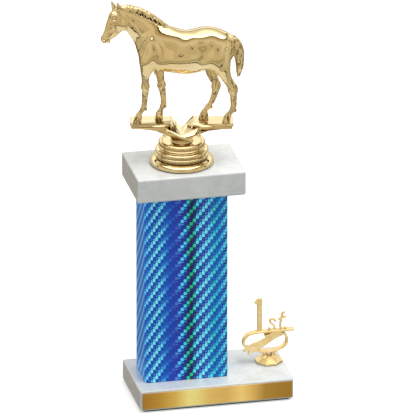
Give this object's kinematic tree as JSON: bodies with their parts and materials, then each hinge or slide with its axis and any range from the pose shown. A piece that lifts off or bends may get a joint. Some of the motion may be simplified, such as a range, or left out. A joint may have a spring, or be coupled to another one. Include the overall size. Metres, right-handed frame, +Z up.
{
  "type": "column trophy",
  "caption": "Award trophy: a standing horse figure on a riser, marble cap and base joined by a patterned blue column, with a nameplate and a small place trim.",
  "frame": {"origin": "centre of the base's footprint, on the underside of the felt, which is the resting plane", "axes": "+Z up along the column, -Y out of the face with the nameplate, +X towards the place trim's end of the base"},
  "size_m": [0.1454, 0.0646, 0.3172],
  "materials": {
    "white_marble": "polished white marble with faint grey veins",
    "green_felt": "thin green felt, adhesive backed",
    "tape_adhesive": "thin double-sided adhesive",
    "brushed_gold_plate": "blank gold sheet, finely brushed along its length",
    "white_styrene": "plain extruded or moulded styrene",
    "blue_weave_film": "glossy holographic film, blue with cyan flecks and green bands in a diagonal weave",
    "zinc_steel": "zinc-plated hardware",
    "bright_gold": "mirror-bright pale gold, vacuum metallised over styrene",
    "satin_gold": "satin gold metallised casting with a fine grain"
  },
  "bodies": {
    "stand": {"base_felt": "green_felt", "base_marble": "white_marble", "nameplate_tape": "tape_adhesive", "nameplate": "brushed_gold_plate", "column_tube": "white_styrene", "column_film": "blue_weave_film", "column_insert_lower": "white_styrene", "column_insert_upper": "white_styrene", "cap_marble": "white_marble"},
    "figure": {"figure_base": "bright_gold", "figure_nut": "zinc_steel", "figure_plinth": "bright_gold", "horse_left_shell": "bright_gold", "horse_right_shell": "bright_gold", "rod": "zinc_steel"},
    "clamp_washer": {"rod_washer": "zinc_steel"},
    "clamp_nut": {"rod_nut": "zinc_steel"},
    "trim": {"trim_figure": "satin_gold", "trim_screw": "zinc_steel", "trim_washer": "zinc_steel"}
  },
  "joints": [
    {"name": "figure_turn", "type": "hinge", "parent": "stand", "child": "figure", "pos_m": [-0.02, 0, 0.1873], "axis": [0, 0, 1], "continuous": true},
    {"name": "trim_turn", "type": "hinge", "parent": "stand", "child": "trim", "pos_m": [0.0475, 0.004, 0.0173], "axis": [0, 0, 1], "continuous": true},
    {"name": "washer_slide", "type": "slide", "parent": "figure", "child": "clamp_washer", "axis": [0, 0, -1], "range_m": [0, 0.0013]},
    {"name": "nut_turn", "type": "hinge", "parent": "clamp_washer", "child": "clamp_nut", "pos_m": [-0.02, 0, 0.0043], "axis": [0, 0, -1], "range_deg": [0, 360]}
  ],
  "couplings": [
    {"joint": "washer_slide", "follows": "nut_turn", "m_per_rad": 0.00020213}
  ]
}
